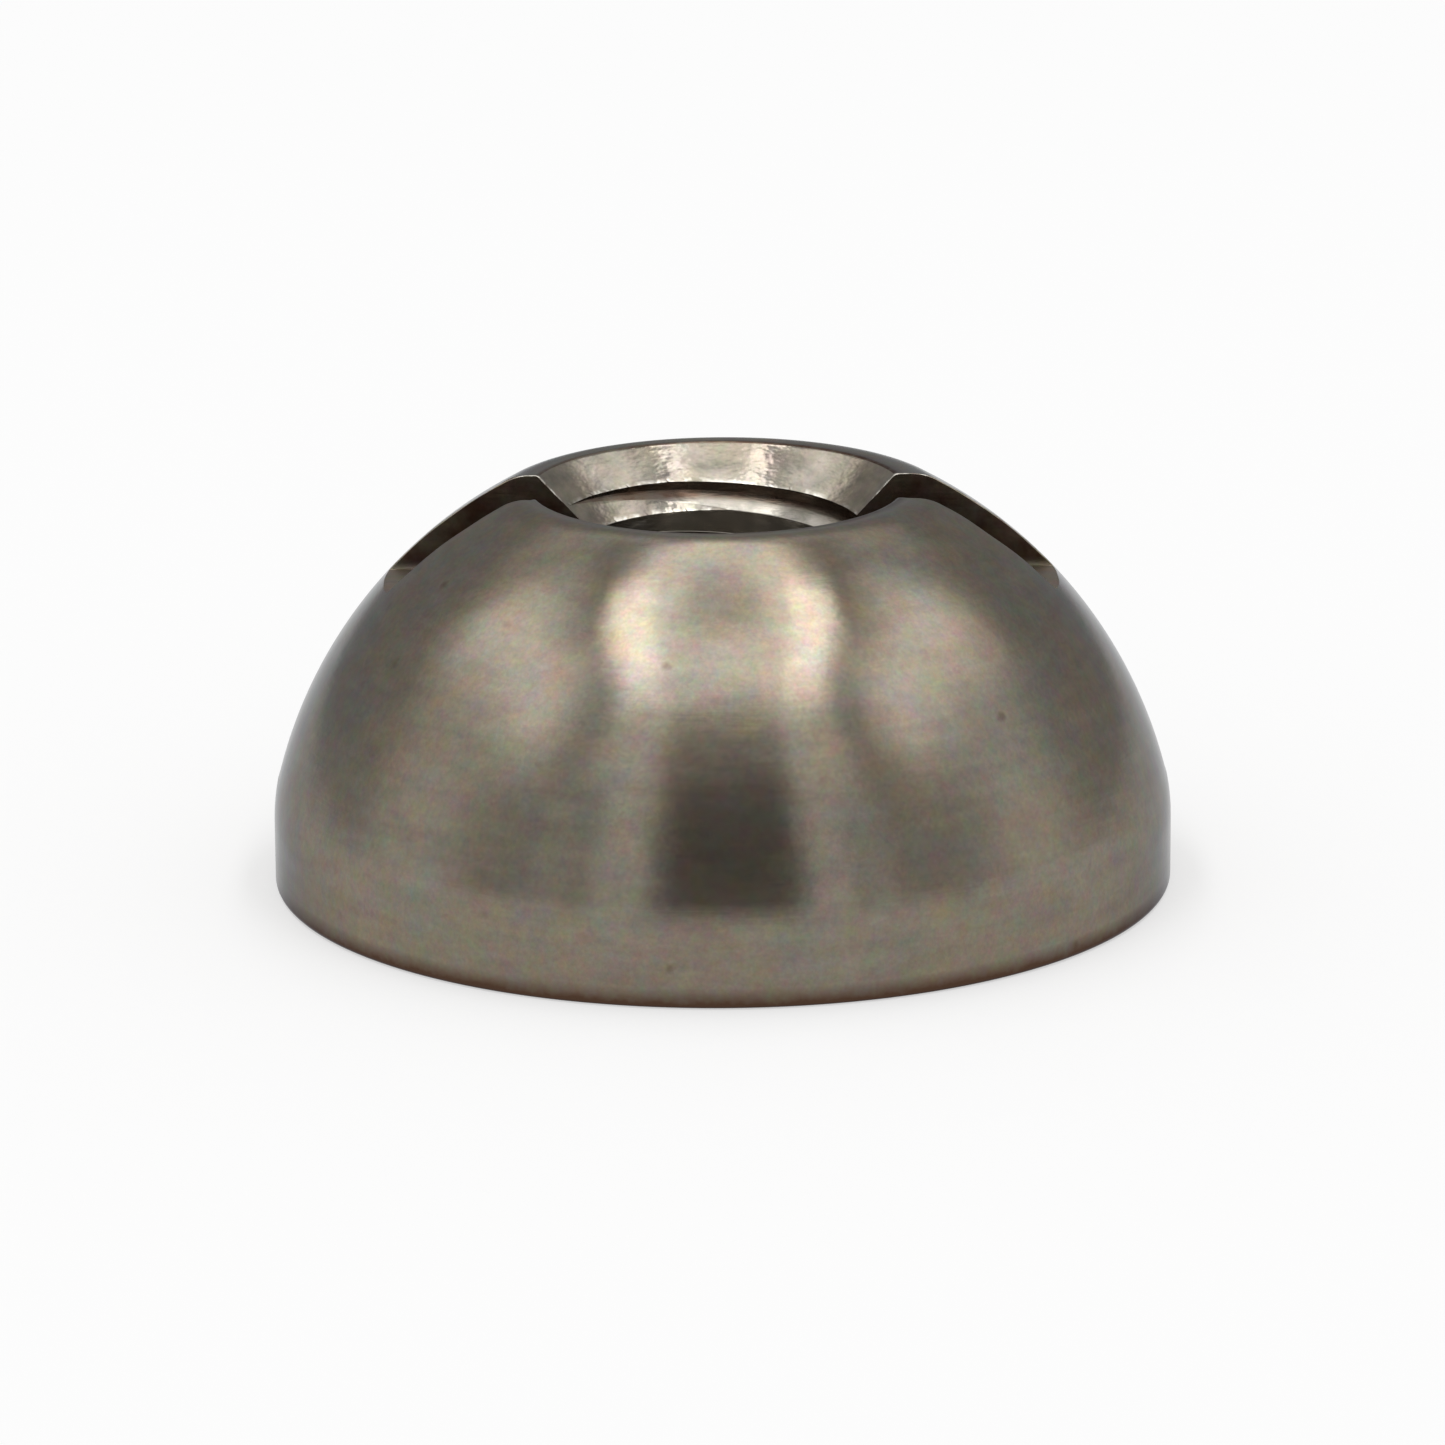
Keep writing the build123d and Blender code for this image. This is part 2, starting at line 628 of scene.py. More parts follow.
    def strip(self, first, second, first_normals, second_normals, finish):
        """Faces between two rows of vertices."""
        for i in range(len(first) - 1):
            corners = [first[i], first[i + 1], second[i + 1], second[i]]
            normals = [
                first_normals[i], first_normals[i + 1], second_normals[i + 1], second_normals[i]
            ]
            self.mesh.face_towards(corners, finish, np.sum(normals, axis=0), normals)

    def lay_turned(self):
        """Lays the turned surface, the slot and the base around the hole."""
        s = self.section
        upper, lower = s.rows()
        last = len(upper) - 1
        # The edges' rounding begins inside the countersink, where the thread ends
        ramp = np.array([
            min(1, (row[1] - s.thread_top) / RAMP) if row[0] < s.cone else 1 for row in upper
        ])
        self.rims, self.edges, self.row_angles = {}, {}, {}
        for half in (0, 1):
            width = self.sizes.edge_wear if half else self.sizes.edge_break
            breaks = [width * ramp * (0.5 + uneven(self.rng, last + 1, 4)) for _ in range(2)]
            burrs = [
                self.sizes.burr * ramp * uneven(self.rng, last + 1, 1) ** 2 for _ in range(2)
            ]
            for k, row in enumerate(upper):
                reach = [asin((s.half_slot + inset[k]) / row[0]) for inset in breaks]
                even = np.ones(HALF_COLUMNS + 1)
                theta = half * pi + half_angles(reach[0] * even, reach[1] * even, s.half_slot)
                rise = np.zeros(HALF_COLUMNS + 1)
                if half == 0 and k < last:
                    rise[[0, -1]] = burrs[0][k], burrs[1][k]
                wear = np.zeros(HALF_COLUMNS + 1)
                wear[[0, -1]] = self.edge_wear(row, half)
                self.rims[half, k] = [
                    self.turned_point(row, *at) for at in zip(theta, rise, wear)
                ]
                self.row_angles[half, k] = theta
                for e, column in ((0, 0), (1, -1)):
                    self.edges[half, e, k] = self.edge_points(
                        row, theta[column], half, breaks[e][k], k == last
                    )
        self.lay_halves(upper)
        self.lay_walls(upper)
        ring, ring_angles = self.lay_floor(upper)
        self.lay_below(upper[-1], lower, ring, ring_angles)

    def edge_points(self, row, theta, half, inset, at_floor):
        """Vertices and normals of a slot edge's rounding, from the turned surface to the wall."""
        s = self.section
        radius, z, out, up = row
        rim = np.array([radius * cos(theta) + s.drift(radius, z), radius * sin(theta), z])
        normal = np.array([out * cos(theta), 0, up])
        normal /= np.linalg.norm(normal)
        wall = np.array(WALL_FACING[half])
        if at_floor:
            # The rounding runs out level with the slot's floor
            normal = np.array([np.sign(cos(theta)), 0, 0])
        centre = rim - normal * inset
        made = []
        for step in (1, 2, 3):
            at = pi / 2 * step / 3
            facing = normal * cos(at) + wall * sin(at)
            place = centre + facing * inset
            wear = self.edge_wear(row, half) if step < 3 else 0
            made.append((self.mesh.point(*place, wear), tuple(facing)))
        return made

    def lay_halves(self, upper):
        """Faces of the land, the dome and the countersink above the slot's floor."""
        s = self.section
        for half in (0, 1):
            start = self.ends[half][0]
            columns = range(start, start + HALF_COLUMNS + 1)
            before = [self.hole_ids[0, column] for column in columns]
            before_normals = row_normals(
                upper[0], [self.hole_theta[0, column] for column in columns]
            )
            before_edges = [
                [(before[column], before_normals[column])] * 4 for column in (0, -1)
            ]
            for k, row in enumerate(upper):
                ids = self.rims[half, k]
                normals = row_normals(row, self.row_angles[half, k])
                finish = SUNK if row[0] <= s.cone - 0.005 * MM else TURNED
                self.strip(before, ids, before_normals, normals, finish)
                for e, column in ((0, 0), (1, -1)):
                    edge = [(ids[column], normals[column])] + self.edges[half, e, k]
                    self.strip(
                        [p[0] for p in before_edges[e]], [p[0] for p in edge],
                        [p[1] for p in before_edges[e]], [p[1] for p in edge], TURNED,
                    )
                    before_edges[e] = edge
                before, before_normals = ids, normals

    def lay_walls(self, upper):
        """The four flat walls of the slot."""
        for half in (0, 1):
            for e, column in enumerate(self.ends[half]):
                border = [self.edges[half, e, k][-1][0] for k in range(len(upper) - 1, -1, -1)]
                for k in range(self.floor_rows[column] + 1):
                    corner = self.hole_ids[k, column]
                    if corner != border[-1]:
                        border.append(corner)
                facing = WALL_FACING[half]
                self.mesh.face_towards(border, SAWN, facing, [facing] * len(border))

    def lay_floor(self, upper):
        """The slot's floor on both sides of the hole. Gives the ring of vertices at its level."""
        s = self.section
        last = len(upper) - 1
        row = upper[last]
        ring, ring_angles = [], []
        for half in (0, 1):
            other = 1 - half
            ring += self.rims[half, last]
            ring_angles += list(self.row_angles[half, last])
            start = self.row_angles[half, last][-1]
            stop = self.row_angles[other, last][0] + 2 * pi * half
            angles = sector_angles(start, stop)
            taper = np.minimum(np.arange(1, SECTOR_COLUMNS) / 3, 1)
            taper = np.minimum(taper, taper[::-1])
            inset = self.sizes.edge_break * taper * (0.5 + uneven(self.rng, len(angles), 2))
            outer, inner = [], []
            for a, drop in zip(angles, inset):
                out = sqrt(s.dome_radius**2 - (s.floor - drop - s.dome_z) ** 2)
                outer.append(self.mesh.point(out * cos(a), out * sin(a), s.floor - drop))
                out = row[0] - drop
                inner.append(self.mesh.point(out * cos(a), out * sin(a), s.floor))
            ends = [self.rims[half, last][-1]], [self.rims[other, last][0]]
            normals = row_normals(row, [start, *angles, stop])
            ups = [(0, 0, 1)] * len(normals)
            self.strip(ends[0] + outer + ends[1], ends[0] + inner + ends[1], normals, ups, SAWN)
            ring += outer
            ring_angles += list(angles)

            first_column = self.ends[half][1]
            last_column = self.ends[other][0]
            border = ends[0] + [p[0] for p in self.edges[half, 1, last]]
            border.append(self.hole_ids[self.floor_rows[first_column], first_column])
            border += [
                self.hole_ids[0, first_column + 1 + i] for i in range(SECTOR_COLUMNS - 1)
            ]
            border.append(self.hole_ids[self.floor_rows[last_column], last_column])
            border += [p[0] for p in self.edges[other, 0, last]][::-1] + ends[1] + inner[::-1]
            self.mesh.face_towards(border, SAWN, (0, 0, 1), [(0, 0, 1)] * len(border))
        return ring, np.array(ring_angles)

    def lay_below(self, floor_row, lower, ring, ring_angles):
        """The turned surface below the slot's floor, the base, and the join to the hole."""
        s = self.section
        hole_angles = self.hole_theta[-1]
        before = closed(ring)
        before_normals = closed(row_normals(floor_row, ring_angles))
        for row in lower:
            share = s.drift_share(row[0], row[1])
            angles = ring_angles * (1 - share) + hole_angles * share
            ids = closed([self.turned_point(row, a) for a in angles])
            normals = closed(row_normals(row, angles))
            if row[1] < 0.05 * MM and row[0] < s.mouth + 0.01 * MM:
                # The chamfer at the base is cut as the countersink is
                finish = SUNK
            elif row[1] < CLOSE and row[0] < s.radius - self.sizes.base_edge:
                finish = FACED
            else:
                finish = TURNED
            self.strip(before, ids, before_normals, normals, finish)
            before, before_normals = ids, normals
        slope = sqrt(0.5)
        normals = closed([(-slope * cos(a), -slope * sin(a), -slope) for a in hole_angles])
        self.strip(before, closed(self.hole_ids[-1]), normals, normals, SUNK)

    def build(self, materials):
        """The whole nut as one object."""
        self.lay_hole()
        self.lay_turned()
        return self.mesh.to_object("domed_nut", materials)


# Finishes


class Board:
    """Short ways to add and join nodes."""

    def __init__(self, tree):
        self.tree = tree
        tree.nodes.clear()

    def add(self, kind, settings=None, **inputs):
        """Adds a node. An input is a socket to join or a plain value."""
        node = self.tree.nodes.new(kind)
        for name, value in (settings or {}).items():
            setattr(node, name, value)
        for name, value in inputs.items():
            self.feed(node, name.replace("_", " "), value)
        return node

    def feed(self, node, name, value):
        """Joins a socket to an input, or sets the input's value."""
        socket = node.inputs[int(name)] if name.isdigit() else node.inputs[name]
        if isinstance(value, bpy.types.NodeSocket):
            self.tree.links.new(value, socket)
        else:
            socket.default_value = value

    def math(self, operation, *values, clamp=False):
        """Works out one value from others."""
        node = self.tree.nodes.new("ShaderNodeMath")
        node.operation = operation
        node.use_clamp = clamp
        for i, value in enumerate(values):
            self.feed(node, str(i), value)
        return node.outputs[0]

    def fit(self, value, low, high, to_low=0.0, to_high=1.0, smooth=False):
        """Maps a value from one range to another and holds it there."""
        kind = "SMOOTHSTEP" if smooth else "LINEAR"
        node = self.tree.nodes.new("ShaderNodeMapRange")
        node.interpolation_type = kind
        values = (value, low, high, to_low, to_high)
        for name, entry in zip(("Value", "From Min", "From Max", "To Min", "To Max"), values):
            self.feed(node, name, entry)
        return node.outputs["Result"]

    def blend(self, share, first, second, kind="MIX"):
        """Mixes two colours."""
        node = self.tree.nodes.new("ShaderNodeMix")
        node.data_type = "RGBA"
        node.blend_type = kind
        for index, value in ((0, share), (6, first), (7, second)):
            self.feed(node, str(index), (*value, 1) if isinstance(value, tuple) else value)
        return node.outputs[2]

    def noise(self, vector, scale, detail=2.0, roughness=0.5, w=None, output="Fac"):
        """Noise in space, or in four dimensions where w is given."""
        settings = {"noise_dimensions": "4D" if w is not None else "3D"}
        node = self.add(
            "ShaderNodeTexNoise", settings, Vector=vector, Scale=scale, Detail=detail,
            Roughness=roughness,
        )
        if w is not None:
            self.feed(node, "W", w)
        return node.outputs[output]

    def vector(self, x, y, z):
        """Joins three values."""
        return self.add("ShaderNodeCombineXYZ", X=x, Y=y, Z=z).outputs[0]


def new_material(name):
    """An empty node material, and the board that its nodes go on."""
    material = bpy.data.materials.new(name)
    material.use_nodes = True
    return material, Board(material.node_tree)


def coordinates(board):
    """The place on the nut in millimetres, and its parts along X, Y and Z."""
    scaled = board.add("ShaderNodeVectorMath", {"operation": "SCALE"}, Scale=1 / MM)
    board.feed(scaled, "0", board.add("ShaderNodeTexCoord").outputs["Object"])
    place = scaled.outputs[0]
    return place, *board.add("ShaderNodeSeparateXYZ", Vector=place).outputs


def round_coordinates(board, x, y):
    """The distance from the nut's axis, and the parts of its direction along X and Y."""
    squares = board.math("MULTIPLY_ADD", x, x, board.math("MULTIPLY", y, y))
    radius = board.math("MAXIMUM", board.math("SQRT", squares), 0.001)
    return radius, board.math("DIVIDE", x, radius), board.math("DIVIDE", y, radius)


def grained(board, colour_now, place, amount):
    """Fine grain: each colour channel wanders by itself, so the steel shimmers pink and olive."""
    noise = board.noise(place, 3.0, 3.5, 0.88, output="Color")
    scaled = board.add("ShaderNodeVectorMath", {"operation": "MULTIPLY_ADD"})
    board.feed(scaled, "0", noise)
    board.feed(scaled, "1", (amount, amount, amount))
    board.feed(scaled, "2", (1 - amount / 2,) * 3)
    return board.blend(1.0, colour_now, scaled.outputs[0], "MULTIPLY")


def bared(board, colour_now, place, finish):
    """Bright bare steel along the freshly cut edges, in broken stretches, which also paints glints
    there.
    """
    wear = board.add("ShaderNodeAttribute", {"attribute_name": "wear"}).outputs["Fac"]
    broken = board.fit(board.noise(place, 4.5, 2.0, 0.7), 0.42, 0.60)
    share = board.math("MULTIPLY", board.fit(wear, 0.1, 0.9), broken)
    return board.blend(share, colour_now, tuple(finish.bare))


def steel_shader(board, finish, colour_now, height, **more):
    """The metal itself, with a bump whose height is in millimetres."""
    bump = board.add("ShaderNodeBump", Strength=1.0, Distance=MM, Height=height)
    shader = board.add(
        "ShaderNodeBsdfPrincipled", Base_Color=colour_now, Metallic=1.0,
        Specular_Tint=(*finish.rim, 1), Normal=bump.outputs[0], **more,
    )
    board.add("ShaderNodeOutputMaterial", Surface=shader.outputs[0])


# Painted shade: a brown darkening round the base's edge, for the reflected contact shadow. Each
# line gives two places in millimetres and the share of shade at them: close to the foot, fainter
# further up the band, and inwards over the base
FOOT_PAINTED_SHADE = (0.05, 0.28, 1.0, 0.0)
BAND_PAINTED_SHADE = (0.4, 1.4, 0.12, 0.0)
BASE_PAINTED_SHADE = (5.2, 5.85, 0.08, 1.0)


def turned_steel(
    name, finish, lines, ripple, coarse=11.0, run=5.0, streaks=0.075, grain=0.75,
    roughness=None, stretch=None, film=None, film_colour=None, bright=None,
):
    """Steel with turning lines round the axis, mottled warm and cool.

    lines and ripple are the heights in millimetres of the turning lines and of the unevenness
    in all directions. coarse is how many lines there are in a millimetre, run how often one
    changes along its way round, and streaks how much their shade differs. film and bright each
    give two radii in millimetres and the share of brown film or of bare steel at them.
    """
    material, board = new_material(name)
    place, x, y, z = coordinates(board)
    radius, across, along = round_coordinates(board, x, y)

    def ring_noise(fine, run, detail=1.0, gain=0.5):
        """Noise in rings round the axis, fine across them and slow along them."""
        vector = board.vector(
            board.math("MULTIPLY", radius, fine),
            board.math("MULTIPLY", z, fine),
            board.math("MULTIPLY", across, run),
        )
        return board.noise(vector, 1.0, detail, gain, w=board.math("MULTIPLY", along, run))

    patches = board.noise(place, 0.9, 3.0, 0.6)
    cool = board.fit(patches, 0.40, 0.64)
    colour_now = board.blend(cool, tuple(finish.steel), tuple(finish.steel_cool))
    shade = board.fit(ring_noise(5.0, 6.0, 2.0), 0.3, 0.7, 1.0 - streaks, 1.0 + streaks)
    mist = board.fit(board.noise(place, 15.0, 2.0, 0.7), 0.3, 0.7, 0.93, 1.07)
    shade = board.math("MULTIPLY", shade, mist)
    colour_now = board.blend(1.0, colour_now, board.vector(shade, shade, shade), "MULTIPLY")
    colour_now = grained(board, colour_now, place, grain)

    # Faint ragged brown specks
    specks = board.add("ShaderNodeTexVoronoi", Vector=place, Scale=1.1).outputs["Distance"]
    specks = board.math("MULTIPLY_ADD", board.noise(place, 9.0, 2.0), 0.12, specks)
    speck = board.fit(specks, 0.08, 0.16, board.fit(patches, 0.42, 0.56, 0.1, 0.5), 0.0)
    colour_now = board.blend(speck, colour_now, tuple(finish.stain))

    # Painted shade round the base's edge, a brown darkening for the reflected contact shadow, then
    # film and bare steel where this surface has them
    blotches = board.noise(place, 3.0, 3.0, 0.7)
    ragged = board.fit(blotches, 0.3, 0.7, 0.5, 1.3)
    # The painted shade is strongest at the foot and fades up the band
    low_painted_shade = board.math("ADD", board.fit(z, *FOOT_PAINTED_SHADE), board.fit(z, *BAND_PAINTED_SHADE))
    steady = board.fit(blotches, 0.3, 0.7, 0.82, 1.15)
    steady = board.math("MULTIPLY", steady, board.fit(radius, *BASE_PAINTED_SHADE))
    share = board.math("MULTIPLY", steady, low_painted_shade, clamp=True)
    colour_now = board.blend(share, colour_now, tuple(finish.stain))
    if bright:
        share = board.math("MULTIPLY", ragged, board.fit(radius, *bright), clamp=True)
        colour_now = board.blend(share, colour_now, tuple(finish.bare))
    if film:
        share = board.math("MULTIPLY", ragged, board.fit(radius, *film), clamp=True)
        colour_now = board.blend(share, colour_now, tuple(film_colour))
    # Bare steel along the cut edges, which also paints glints there
    colour_now = bared(board, colour_now, place, finish)

    fine = board.math("MULTIPLY", ring_noise(coarse, run, 2.0, 0.6), lines)
    uneven_height = board.math("MULTIPLY", board.noise(place, 1.6, 3.0, 0.42), ripple)
    height = board.math("ADD", fine, uneven_height)
    tangent = board.add("ShaderNodeTangent", {"direction_type": "RADIAL", "axis": "Z"})
    steel_shader(
        board, finish, colour_now, height,
        Roughness=finish.roughness if roughness is None else roughness,
        Anisotropic=finish.stretch if stretch is None else stretch,
        Anisotropic_Rotation=0.25, Tangent=tangent.outputs[0],
    )
    return material


def sawn_steel(name, finish, sizes):
    """The slot: saw marks along X, a brown film up its walls and bright lines in its corners."""
    material, board = new_material(name)
    place, x, y, z = coordinates(board)
    stretched = [board.math("MULTIPLY", part, by) for part, by in ((x, 0.8), (y, 9.0), (z, 9.0))]
    marks = board.noise(board.vector(*stretched), 1.0, 3.0, 0.6)
    floor = (sizes.height - sizes.slot_depth) / MM
    half = sizes.slot_width / 2 / MM
    up_wall = board.math("SUBTRACT", z, floor)
    from_wall = board.math("SUBTRACT", half, board.math("ABSOLUTE", y))
    colour_now = board.blend(
        board.fit(marks, 0.35, 0.65), tuple(finish.steel), tuple(finish.steel_cool)
    )
    blotches = board.noise(place, 2.2, 3.0, 0.65)
    film = board.math(
        "MULTIPLY", board.fit(up_wall, 0.03, 0.12, 0.24, 1.0),
        board.fit(blotches, 0.3, 0.65, 0.4, 1.0),
    )
    colour_now = board.blend(film, colour_now, tuple(finish.stain))
    colour_now = grained(board, colour_now, place, 0.75)
    # Bare steel along the cut edges, which also paints glints there
    colour_now = bared(board, colour_now, place, finish)

    # The saw leaves a small round corner along the foot of each wall
    from_foot = board.math("MAXIMUM", up_wall, from_wall)
    corner = board.fit(from_foot, 0.0, 0.08, 1.0, 0.0)
    rise = board.math("MULTIPLY", board.math("POWER", corner, 2.0), 0.022)
    height = board.math("MULTIPLY_ADD", marks, 0.006, rise)
    steel_shader(board, finish, colour_now, height, Roughness=0.42)
    return material


# The light tent


def glow(board, level):
    """An emission as bright as the given value or socket."""
    return board.add("ShaderNodeEmission", Color=(1, 1, 1, 1), Strength=level).outputs[0]


def seen(board):
    """1 where the camera looks straight, by a reflection or through glass; 0 where light falls."""
    path = board.add("ShaderNodeLightPath")
    total = board.math("ADD", path.outputs["Is Camera Ray"], path.outputs["Is Glossy Ray"])
    return board.math("ADD", total, path.outputs["Is Transmission Ray"], clamp=True)


def tent_material():
    """Walls of the light tent as they mirror in the steel: plain areas with soft borders."""
    material, board = new_material("tent_walls")
    place = board.add("ShaderNodeTexCoord").outputs["Object"]
    unit = board.add("ShaderNodeVectorMath", {"operation": "NORMALIZE"})
    board.feed(unit, "0", place)
    x, y, z = board.add("ShaderNodeSeparateXYZ", Vector=unit.outputs[0]).outputs
    rise = board.math("MULTIPLY", board.math("ARCSINE", z), 180 / pi)
    front = board.math("MULTIPLY", y, -1.0)
    turn = board.math("MULTIPLY", board.math("ARCTAN2", x, front), 180 / pi)
    either_side = board.math("ABSOLUTE", turn)
    overhead = board.math("MAXIMUM", z, 0.001)
    along = board.math("DIVIDE", y, overhead)
    across = board.math("DIVIDE", board.math("ABSOLUTE", x), overhead)
    across = board.math("MULTIPLY_ADD", board.math("MAXIMUM", along, 0.0), CONVERGE, across)

    def within(value, limits, soft):
        """1 between two limits and 0 outside them, with soft borders."""
        low, high = limits
        return board.math(
            "MULTIPLY",
            board.fit(value, low - soft, low + soft, smooth=True),
            board.fit(value, high - soft, high + soft, 1.0, 0.0, smooth=True),
        )

    def lay(level, value, inside):
        """Lays one area over what is there."""
        outside = board.math("SUBTRACT", 1.0, inside)
        return board.math("MULTIPLY_ADD", inside, value, board.math("MULTIPLY", level, outside))

    level = TENT_WALL
    for value, turns, rises, soft, mirrored in TENT_AREAS:
        inside = within(rise, rises, soft)
        if turns:
            turned = within(either_side if mirrored else turn, turns, soft)
            inside = board.math("MULTIPLY", inside, turned)
        level = lay(level, value, inside)
    for value, acrosses, alongs, soft in CEILING_AREAS:
        covered = within(across, acrosses, soft), within(along, alongs, soft)
        level = lay(level, value, board.math("MULTIPLY", *covered))
    board.add("ShaderNodeOutputMaterial", Surface=glow(board, level))
    return material


TENT_WALL = 0.53
# Level, turn from the camera's side, height angle and softness of each area in degrees, and
# whether it is on both sides alike
TENT_AREAS = (
    (0.25, None, (57, 120), 5.0, True),
    (2.25, (60.5, 129.5), (36, 58.5), 11.0, True),
    (0.92, (72.5, 103), (-30, 40), 12.0, True),
    (0.49, (124, 200), (-30, 74), 10.5, True),
    (0.88, (136, 200), (40, 58), 6.0, True),
    (0.93, (19.5, 34), (-30, 60), 3.1, True),
    (0.47, (-20, 22.5), (46.5, 57.3), 1.9, False),
    (0.17, (-16.2, 21), (-30, 43), 5.3, False),
    (0.67, (-50, -39), (-30, 53), 2.3, False),
    (0.70, (36, 44), (-30, 52), 2.1, False),
    (1.18, (25, 43), (38, 53), 4.0, True),
)
# The same for what is overhead, in place of the angles by how far it is across and along for
# each metre of height. The lamps converge towards the back by CONVERGE
CONVERGE = 0.35
CEILING_AREAS = (
    (2.45, (-1, 0.336), (-0.565, 1.0), 0.065),
    (1.03, (-1, 0.14), (-0.14, 0.14), 0.06),
    (4.55, (0.255, 0.436), (-0.46, 0.165), 0.025),
)


# The strip lamps' width, length and distance from the middle, for each metre of height
LAMP_WIDTH, LAMP_LENGTH, LAMP_ASIDE = 0.158, 1.5, 0.366


def add_lamp(name, settings, side):
    """One strip lamp under the tent's ceiling, beside the nut and parallel to Y."""
    height = settings.ceiling
    light = bpy.data.lights.new(name, "AREA")
    light.shape = "RECTANGLE"
    light.size = LAMP_WIDTH * height
    light.size_y = LAMP_LENGTH * height
    light.energy = settings.lamp_level * 4 * light.size * light.size_y
    lamp = bpy.data.objects.new(name, light)
    lamp.location = (side * LAMP_ASIDE * height, 0, height)
    lamp.visible_camera = False
    lamp.visible_glossy = False
    bpy.context.scene.collection.objects.link(lamp)
    return lamp


def plain_mesh(name, points, faces, material):
    """An object from points and faces, in one material."""
    mesh = bpy.data.meshes.new(name)
    mesh.from_pydata(points, [], faces)
    mesh.materials.append(material)
    made = bpy.data.objects.new(name, mesh)
    bpy.context.scene.collection.objects.link(made)
    return made


class SHAFTNUT_OT_nut(bpy.types.Operator):
    """Build the nut with its cut thread and its finishes, in place of the plain solid"""

    bl_idname = "shaftnut.build_nut"
    bl_label = "Build the nut"

    def execute(self, context):
        finish = context.scene.nut_finish
        materials = [
            turned_steel(
                "turned_dome", finish, lines=0.0009, ripple=0.004,
                film=(2.45, 2.58, 1.0, 0.0), film_colour=finish.stain,
            ),
            turned_steel("faced_base", finish, lines=0.004, ripple=0.004, streaks=0.16),
            turned_steel(
                "countersunk_cone", finish, lines=0.012, ripple=0.006, coarse=7.0, run=9.0,
                streaks=0.28, grain=0.5, bright=(1.8, 3.0, 0.13, 0.13),
            ),
            sawn_steel("sawn_slot", finish, context.scene.nut_sizes),
            turned_steel(
                "tapped_thread", finish, lines=0.006, ripple=0.008, run=7.0, streaks=0.2,
                grain=0.5, roughness=0.23, stretch=0.7, film=(1.92, 2.00, 0.0, 0.6),
                film_colour=finish.rust, bright=(1.80, 1.98, 0.6, 0.1),
            ),
        ]
        piece = NutBuilder(context.scene.nut_sizes).build(materials)
        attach(piece, "root")
        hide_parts("shaft_nut")
        return {"FINISHED"}


CAMERA_LENS = 196.96  # millimetres, on a sensor 36 mm wide
CAMERA_ASIDE = 0.0047 * MM  # how far the camera's target lies towards +X


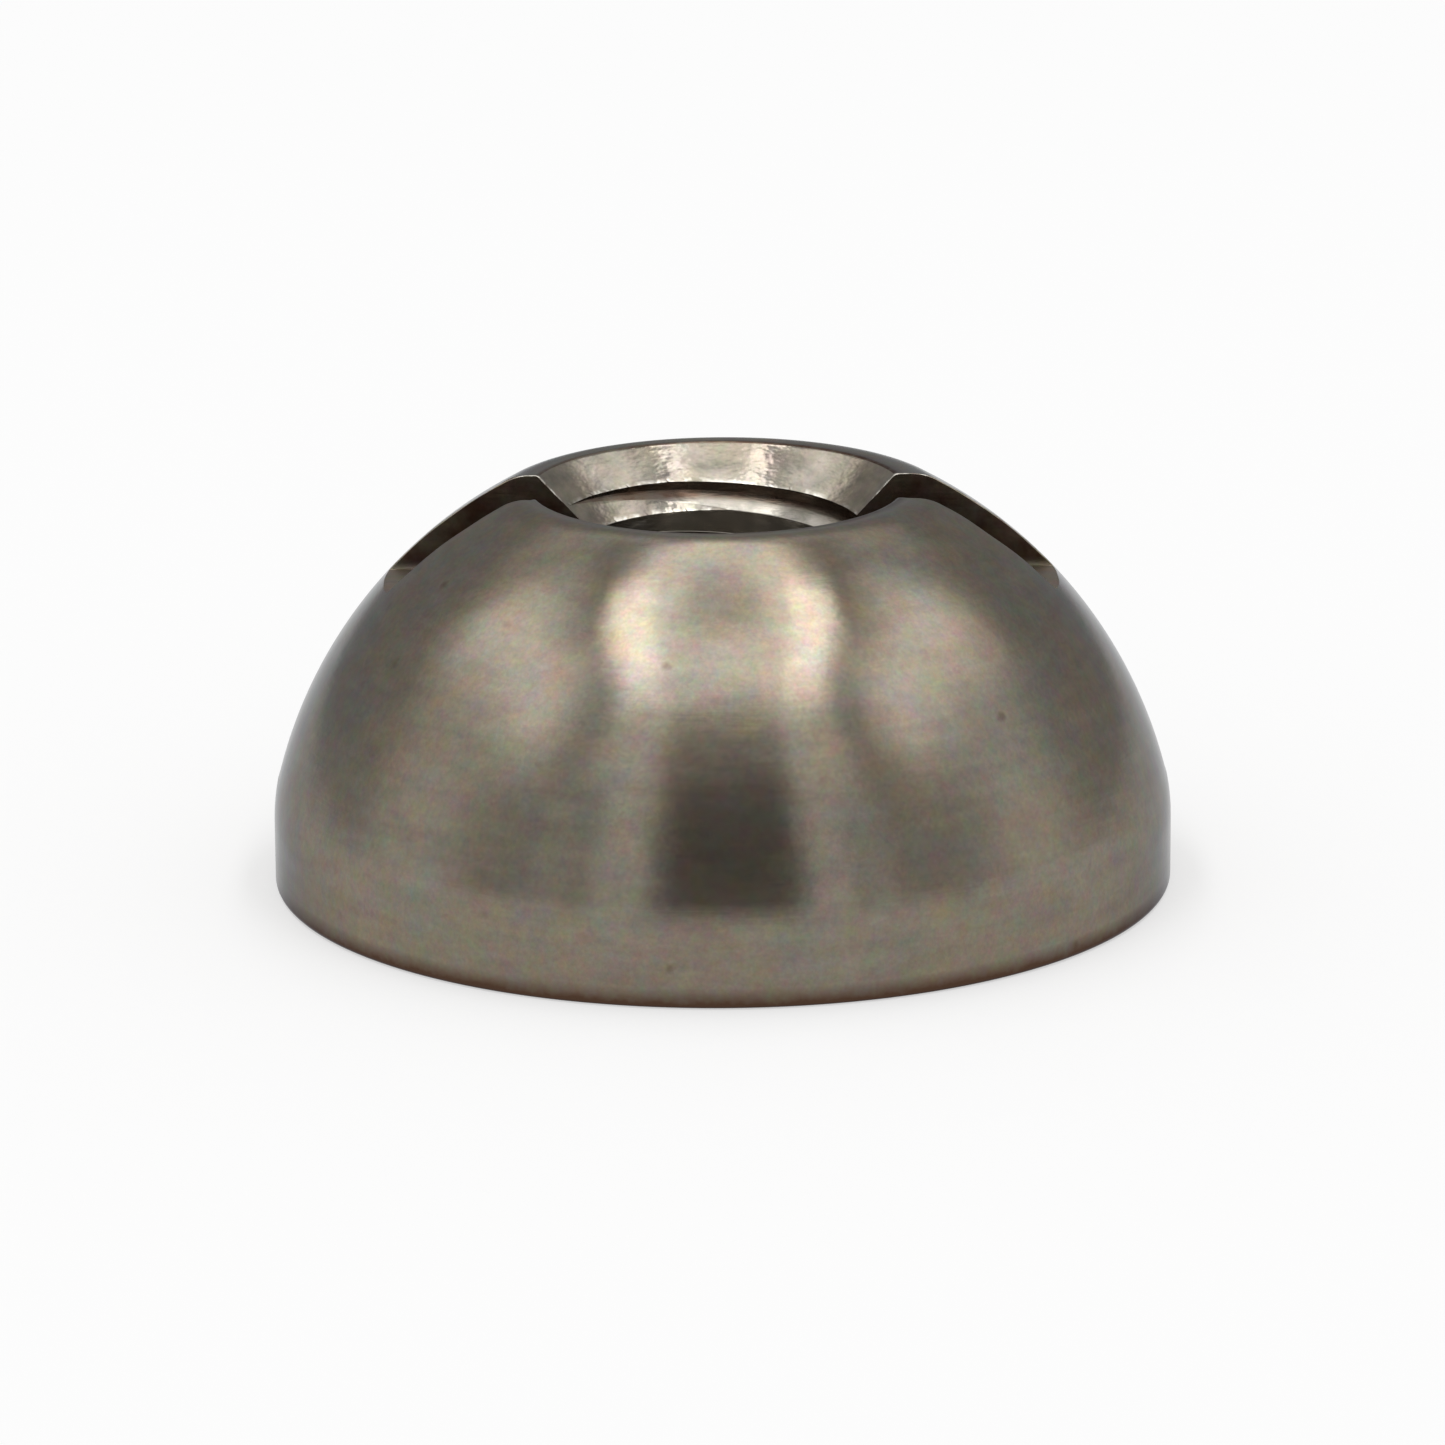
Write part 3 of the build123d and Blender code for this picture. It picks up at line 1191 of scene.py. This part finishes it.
class SHAFTNUT_OT_studio(bpy.types.Operator):
    """Build the floor, the light tent, its lamps and the camera"""

    bl_idname = "shaftnut.build_studio"
    bl_label = "Build the studio"

    def execute(self, context):
        scene = context.scene
        settings = scene.nut_studio
        self.add_world(scene, settings)
        self.add_floor(settings)
        self.add_tent()
        for name, side in (("lamp_left", -1), ("lamp_right", 1)):
            add_lamp(name, settings, side)
        self.add_camera(scene, settings)
        scene.view_settings.view_transform = "Standard"
        return {"FINISHED"}

    def add_world(self, scene, settings):
        """The white background, and the even light on the floor."""
        world = bpy.data.worlds.new("studio_light")
        world.use_nodes = True
        board = Board(world.node_tree)
        white = board.fit(seen(board), 0, 1, settings.ambient, 1.0)
        background = board.add("ShaderNodeBackground", Color=(1, 1, 1, 1), Strength=white)
        board.add("ShaderNodeOutputWorld", Surface=background.outputs[0])
        scene.world = world

    def add_floor(self, settings):
        """A round pale floor just under the base, which keeps the nut's shadow."""
        material, board = new_material("pale_floor")
        diffuse = board.add("ShaderNodeBsdfDiffuse", Color=(*settings.floor, 1))
        lift = glow(board, board.math("MULTIPLY", seen(board), settings.floor_lift))
        total = board.add("ShaderNodeAddShader")
        board.feed(total, "0", diffuse.outputs[0])
        board.feed(total, "1", lift)
        board.add("ShaderNodeOutputMaterial", Surface=total.outputs[0])
        reach, count, low = 2.5, 64, -0.005 * MM
        points = [
            (reach * cos(2 * pi * i / count), reach * sin(2 * pi * i / count), low)
            for i in range(count)
        ]
        plain_mesh("floor", points, [list(range(count))], material)

    def add_tent(self):
        """Half a ball round the nut, which only reflections show."""
        reach, around, rings = 0.6, 48, 24
        points, faces = [], []
        for i in range(rings + 1):
            up = pi / 2 * i / rings
            for j in range(around):
                turn = 2 * pi * j / around
                points.append(
                    (reach * cos(up) * cos(turn), reach * cos(up) * sin(turn), reach * sin(up))
                )
        for i in range(rings):
            for j in range(around):
                after = (j + 1) % around
                faces.append((
                    i * around + j, i * around + after,
                    (i + 1) * around + after, (i + 1) * around + j,
                ))
        tent = plain_mesh("light_tent", points, faces, tent_material())
        tent.visible_camera = False
        tent.visible_diffuse = False
        tent.visible_shadow = False
        tent.visible_transmission = False

    def add_camera(self, scene, settings):
        """The camera, placed and turned from the studio's angles and lengths."""
        data = bpy.data.cameras.new("camera")
        data.lens = CAMERA_LENS
        data.sensor_width = 36.0
        data.clip_start = MM
        data.clip_end = 10.0
        camera = bpy.data.objects.new("camera", data)
        up = settings.camera_elevation
        backwards = Vector((0, -cos(up), sin(up)))
        right = Vector((1, 0, 0))
        above = backwards.cross(right)
        roll = settings.camera_roll
        tilted = cos(roll) * right + sin(roll) * above
        upright = cos(roll) * above - sin(roll) * right
        target = Vector((CAMERA_ASIDE, 0, settings.target))
        place = target + backwards * settings.camera_distance
        turn = Matrix((tilted, upright, backwards)).transposed().to_4x4()
        camera.matrix_world = Matrix.Translation(place) @ turn
        scene.collection.objects.link(camera)
        scene.camera = camera


class SHAFTNUT_PT_panel(bpy.types.Panel):
    """Sizes, finish and studio of the nut, with the buttons that build them"""

    bl_label = "Shaft nut"
    bl_idname = "SHAFTNUT_PT_panel"
    bl_space_type = "VIEW_3D"
    bl_region_type = "UI"
    bl_category = "Shaft nut"

    def draw(self, context):
        layout = self.layout
        scene = context.scene
        groups = (
            (scene.nut_sizes, None),
            (scene.nut_finish, SHAFTNUT_OT_nut.bl_idname),
            (scene.nut_studio, SHAFTNUT_OT_studio.bl_idname),
        )
        for group, operator in groups:
            box = layout.box()
            for name in group.__annotations__:
                box.prop(group, name)
            if operator:
                box.operator(operator)


CLASSES = (
    NutSizes, NutFinish, StudioSettings, SHAFTNUT_OT_nut, SHAFTNUT_OT_studio, SHAFTNUT_PT_panel,
)


def register():
    for entry in CLASSES:
        bpy.utils.register_class(entry)
    bpy.types.Scene.nut_sizes = PointerProperty(type=NutSizes)
    bpy.types.Scene.nut_finish = PointerProperty(type=NutFinish)
    bpy.types.Scene.nut_studio = PointerProperty(type=StudioSettings)


def unregister():
    del bpy.types.Scene.nut_studio
    del bpy.types.Scene.nut_finish
    del bpy.types.Scene.nut_sizes
    for entry in reversed(CLASSES):
        bpy.utils.unregister_class(entry)


def main():
    register()
    bpy.ops.shaftnut.build_nut()
    bpy.ops.shaftnut.build_studio()


if __name__ == "__main__":
    main()
